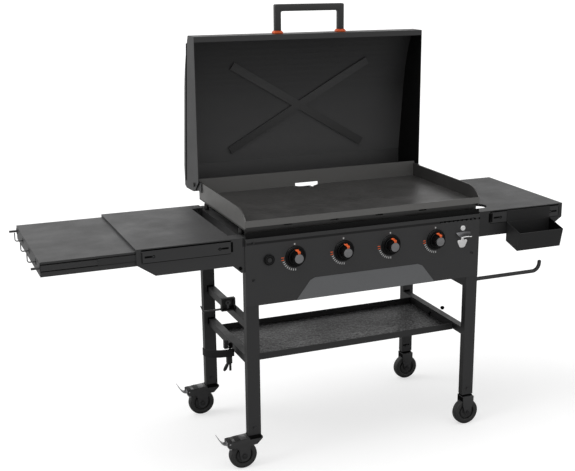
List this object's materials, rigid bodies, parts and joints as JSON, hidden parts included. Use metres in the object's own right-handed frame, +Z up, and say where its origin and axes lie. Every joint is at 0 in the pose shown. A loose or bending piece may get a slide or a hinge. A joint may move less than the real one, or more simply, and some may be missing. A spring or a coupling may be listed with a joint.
{
  "type": "outdoor gas griddle station",
  "caption": "Flat top gas griddle on a wheeled cart with a hinged hood, side shelves, a pull out shelf extension, tool caddy, grease cup and tank fittings.",
  "frame": {"origin": "the ground below the middle of the whole part, with the hood open and the extension pulled out", "axes": "+X to the right seen from the front, along the width; +Y from front to back; +Z up"},
  "size_m": [2.007, 0.7742, 1.601],
  "materials": {
    "black_coat": "satin powder coat",
    "seasoned_steel": "bare rolled steel",
    "dark_sheet": "plain steel sheet",
    "grey_plate": "satin",
    "black_plastic": "moulded",
    "orange_plastic": "moulded",
    "bright_steel": "polished",
    "zinc_steel": "zinc plated",
    "brass_parts": "turned",
    "caster_grey": "satin",
    "tyre_rubber": "matte"
  },
  "bodies": {
    "cart": {"left_leg_frame": "black_coat", "right_leg_frame": "black_coat", "side_panels": "black_coat", "front_panel": "black_coat", "back_panel": "black_coat", "heat_shield": "dark_sheet", "nameplate": "grey_plate", "knob_bezels": "black_plastic", "gas_valves": "brass_parts", "gas_manifold": "dark_sheet", "gas_inlet": "brass_parts", "burners": "dark_sheet", "igniter_electrodes": "zinc_steel", "igniter_module": "black_plastic", "bottle_opener": "bright_steel", "bottom_shelf": "black_coat", "left_shelf": "black_coat", "right_shelf": "black_coat", "accessory_rails": "black_coat", "fixed_slides": "zinc_steel", "caster_sockets": "caster_grey", "rigid_forks": "caster_grey", "rigid_axles": "zinc_steel", "towel_rod": "black_coat", "tank_hanger": "black_coat", "tank_brace": "black_coat", "cup_bracket": "black_coat", "frame_bolts": "zinc_steel", "panel_screws": "zinc_steel"},
    "griddle": {"griddle_plate": "seasoned_steel", "hinge_brackets": "black_coat", "hinge_bolts": "dark_sheet"},
    "hood": {"hood_shell": "black_coat", "handle_posts": "black_coat", "handle_bar": "black_coat", "handle_collars": "orange_plastic"},
    "igniter_push": {"igniter_button": "black_plastic"},
    "slide_pair": {"middle_slides": "zinc_steel"},
    "extension": {"shelf_extension": "black_coat", "tool_hooks": "black_coat"},
    "caddy_bin": {"caddy": "black_coat"},
    "cup": {"grease_cup": "zinc_steel"},
    "clamp_screw": {"brace_screw": "black_coat"},
    "swivel_front": {"swivel_fork_front": "caster_grey"},
    "swivel_rear": {"swivel_fork_rear": "caster_grey"},
    "pedal_front": {"brake_pedal_front": "caster_grey"},
    "pedal_rear": {"brake_pedal_rear": "caster_grey"},
    "roller_left_front": {"wheel_left_front": "tyre_rubber"},
    "roller_left_rear": {"wheel_left_rear": "tyre_rubber"},
    "roller_right_front": {"wheel_right_front": "tyre_rubber"},
    "roller_right_rear": {"wheel_right_rear": "tyre_rubber"},
    "stem_1": {"valve_stem_1": "brass_parts"},
    "dial_1": {"knob_1": "black_plastic"},
    "stem_2": {"valve_stem_2": "brass_parts"},
    "dial_2": {"knob_2": "black_plastic"},
    "stem_3": {"valve_stem_3": "brass_parts"},
    "dial_3": {"knob_3": "black_plastic"},
    "stem_4": {"valve_stem_4": "brass_parts"},
    "dial_4": {"knob_4": "black_plastic"}
  },
  "joints": [
    {"name": "griddle_lift", "type": "slide", "parent": "cart", "child": "griddle", "axis": [0, 0, 1], "range_m": [0, 0.12]},
    {"name": "hood_hinge", "type": "hinge", "parent": "griddle", "child": "hood", "pos_m": [0.1665, 0.25915, 0.933], "axis": [1, 0, 0], "range_deg": [0, 85.4]},
    {"name": "valve_turn_1", "type": "hinge", "parent": "cart", "child": "stem_1", "pos_m": [-0.1125, -0.29485, 0.771], "axis": [0, -1, 0], "range_deg": [0, 180]},
    {"name": "knob_push_1", "type": "slide", "parent": "stem_1", "child": "dial_1", "axis": [0, 1, 0], "range_m": [0, 0.003], "stiffness_N_per_m": 800, "springref_m": -0.003},
    {"name": "valve_turn_2", "type": "hinge", "parent": "cart", "child": "stem_2", "pos_m": [0.0735, -0.29485, 0.771], "axis": [0, -1, 0], "range_deg": [0, 180]},
    {"name": "knob_push_2", "type": "slide", "parent": "stem_2", "child": "dial_2", "axis": [0, 1, 0], "range_m": [0, 0.003], "stiffness_N_per_m": 800, "springref_m": -0.003},
    {"name": "valve_turn_3", "type": "hinge", "parent": "cart", "child": "stem_3", "pos_m": [0.2595, -0.29485, 0.771], "axis": [0, -1, 0], "range_deg": [0, 180]},
    {"name": "knob_push_3", "type": "slide", "parent": "stem_3", "child": "dial_3", "axis": [0, 1, 0], "range_m": [0, 0.003], "stiffness_N_per_m": 800, "springref_m": -0.003},
    {"name": "valve_turn_4", "type": "hinge", "parent": "cart", "child": "stem_4", "pos_m": [0.4455, -0.29485, 0.771], "axis": [0, -1, 0], "range_deg": [0, 180]},
    {"name": "knob_push_4", "type": "slide", "parent": "stem_4", "child": "dial_4", "axis": [0, 1, 0], "range_m": [0, 0.003], "stiffness_N_per_m": 800, "springref_m": -0.003},
    {"name": "igniter_press", "type": "slide", "parent": "cart", "child": "igniter_push", "axis": [0, 1, 0], "range_m": [0, 0.005], "stiffness_N_per_m": 600, "springref_m": -0.004},
    {"name": "extension_slide", "type": "slide", "parent": "cart", "child": "extension", "axis": [1, 0, 0], "range_m": [0, 0.306]},
    {"name": "middle_slide", "type": "slide", "parent": "cart", "child": "slide_pair", "axis": [1, 0, 0], "range_m": [0, 0.153]},
    {"name": "caddy_lift", "type": "slide", "parent": "cart", "child": "caddy_bin", "axis": [0, 0, 1], "range_m": [0, 0.06]},
    {"name": "cup_slide", "type": "slide", "parent": "cart", "child": "cup", "axis": [0, 1, 0], "range_m": [0, 0.1]},
    {"name": "clamp_turn", "type": "hinge", "parent": "cart", "child": "clamp_screw", "pos_m": [-0.2945, -0.09085, 0.37], "axis": [0, 0, 1], "range_deg": [-180, 180]},
    {"name": "front_swivel", "type": "hinge", "parent": "cart", "child": "swivel_front", "pos_m": [-0.274, -0.27735, 0.11], "axis": [0, 0, 1], "continuous": true},
    {"name": "rear_swivel", "type": "hinge", "parent": "cart", "child": "swivel_rear", "pos_m": [-0.274, 0.22765, 0.11], "axis": [0, 0, 1], "continuous": true},
    {"name": "front_brake", "type": "hinge", "parent": "swivel_front", "child": "pedal_front", "pos_m": [-0.37, -0.27735, 0.106], "axis": [0, -1, 0], "range_deg": [0, 10]},
    {"name": "rear_brake", "type": "hinge", "parent": "swivel_rear", "child": "pedal_rear", "pos_m": [-0.37, 0.22765, 0.106], "axis": [0, -1, 0], "range_deg": [0, 10]},
    {"name": "left_front_roll", "type": "hinge", "parent": "swivel_front", "child": "roller_left_front", "pos_m": [-0.317, -0.27735, 0.051], "axis": [0, 1, 0], "continuous": true},
    {"name": "left_rear_roll", "type": "hinge", "parent": "swivel_rear", "child": "roller_left_rear", "pos_m": [-0.317, 0.22765, 0.051], "axis": [0, 1, 0], "continuous": true},
    {"name": "right_front_roll", "type": "hinge", "parent": "cart", "child": "roller_right_front", "pos_m": [0.607, -0.27735, 0.051], "axis": [0, 1, 0], "continuous": true},
    {"name": "right_rear_roll", "type": "hinge", "parent": "cart", "child": "roller_right_rear", "pos_m": [0.607, 0.22765, 0.051], "axis": [0, 1, 0], "continuous": true}
  ],
  "couplings": [
    {"joint": "middle_slide", "follows": "extension_slide", "ratio": 0.5}
  ]
}
